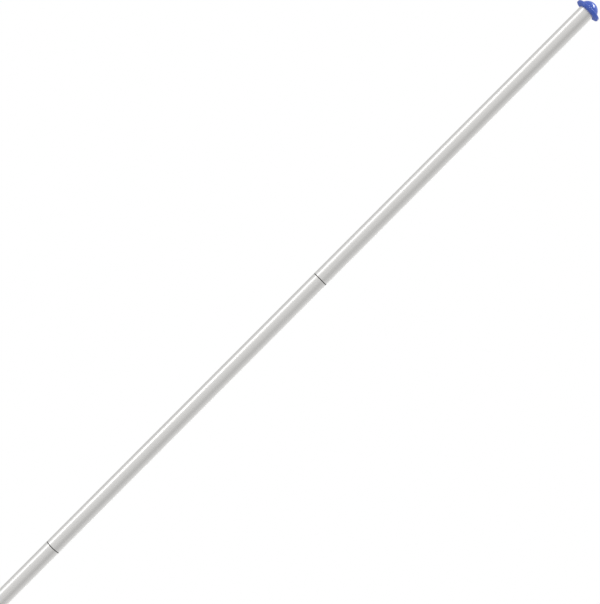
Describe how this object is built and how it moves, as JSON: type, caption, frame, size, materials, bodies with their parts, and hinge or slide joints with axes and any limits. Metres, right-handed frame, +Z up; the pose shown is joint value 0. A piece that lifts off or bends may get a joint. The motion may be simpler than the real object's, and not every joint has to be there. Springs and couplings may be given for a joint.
{
  "type": "sectional aluminium flagpole",
  "caption": "Tall plug-together aluminium flagpole with a domed truck cap, rope cleat, halyard and snap hooks, and a green sleeve round the part set in the ground.",
  "frame": {"origin": "centre of the pole's lower end, in the plane of the ground tube's and the sleeve's end faces", "axes": "+Z up along the pole, -Y to the side of the cleat and the halyard"},
  "size_m": [0.079, 0.093, 6.552],
  "materials": {
    "aluminium": "satin",
    "green_plastic": "gloss",
    "blue_plastic": "gloss",
    "grey_casting": "satin",
    "steel": "satin",
    "white_rope": "braided"
  },
  "bodies": {
    "pole": {"ground_tube": "aluminium", "ground_sleeve": "green_plastic", "pole_section_1": "aluminium", "pole_section_2": "aluminium", "pole_section_3": "aluminium", "pole_section_4": "aluminium", "pole_section_5": "aluminium", "truck_cap": "blue_plastic", "cap_screw": "steel", "cleat": "grey_casting", "cleat_screw_upper": "steel", "cleat_screw_lower": "steel", "halyard": "white_rope", "halyard_hank": "white_rope", "hank_lead_left": "white_rope", "hank_lead_right": "white_rope", "hank_loop": "white_rope"},
    "upper_snap": {"upper_snap_frame": "steel", "upper_snap_rivet": "steel", "upper_hitch": "white_rope"},
    "upper_gate": {"upper_snap_gate": "steel"},
    "lower_snap": {"lower_snap_frame": "steel", "lower_snap_rivet": "steel", "lower_hitch": "white_rope"},
    "lower_gate": {"lower_snap_gate": "steel"}
  },
  "joints": [
    {"name": "upper_hoist", "type": "slide", "parent": "pole", "child": "upper_snap", "axis": [0, 0, 1], "range_m": [0, 3.25]},
    {"name": "upper_gate_hinge", "type": "hinge", "parent": "upper_snap", "child": "upper_gate", "pos_m": [0.01633, -0.0411, 3.19179], "axis": [0, 1, 0], "range_deg": [0, 25], "stiffness_Nm_per_rad": 0.02},
    {"name": "lower_hoist", "type": "slide", "parent": "pole", "child": "lower_snap", "axis": [0, 0, 1], "range_m": [0, 3.25]},
    {"name": "lower_gate_hinge", "type": "hinge", "parent": "lower_snap", "child": "lower_gate", "pos_m": [0.01633, -0.0411, 2.24179], "axis": [0, 1, 0], "range_deg": [0, 25], "stiffness_Nm_per_rad": 0.02}
  ],
  "couplings": [
    {"joint": "lower_hoist", "follows": "upper_hoist", "ratio": 1}
  ]
}
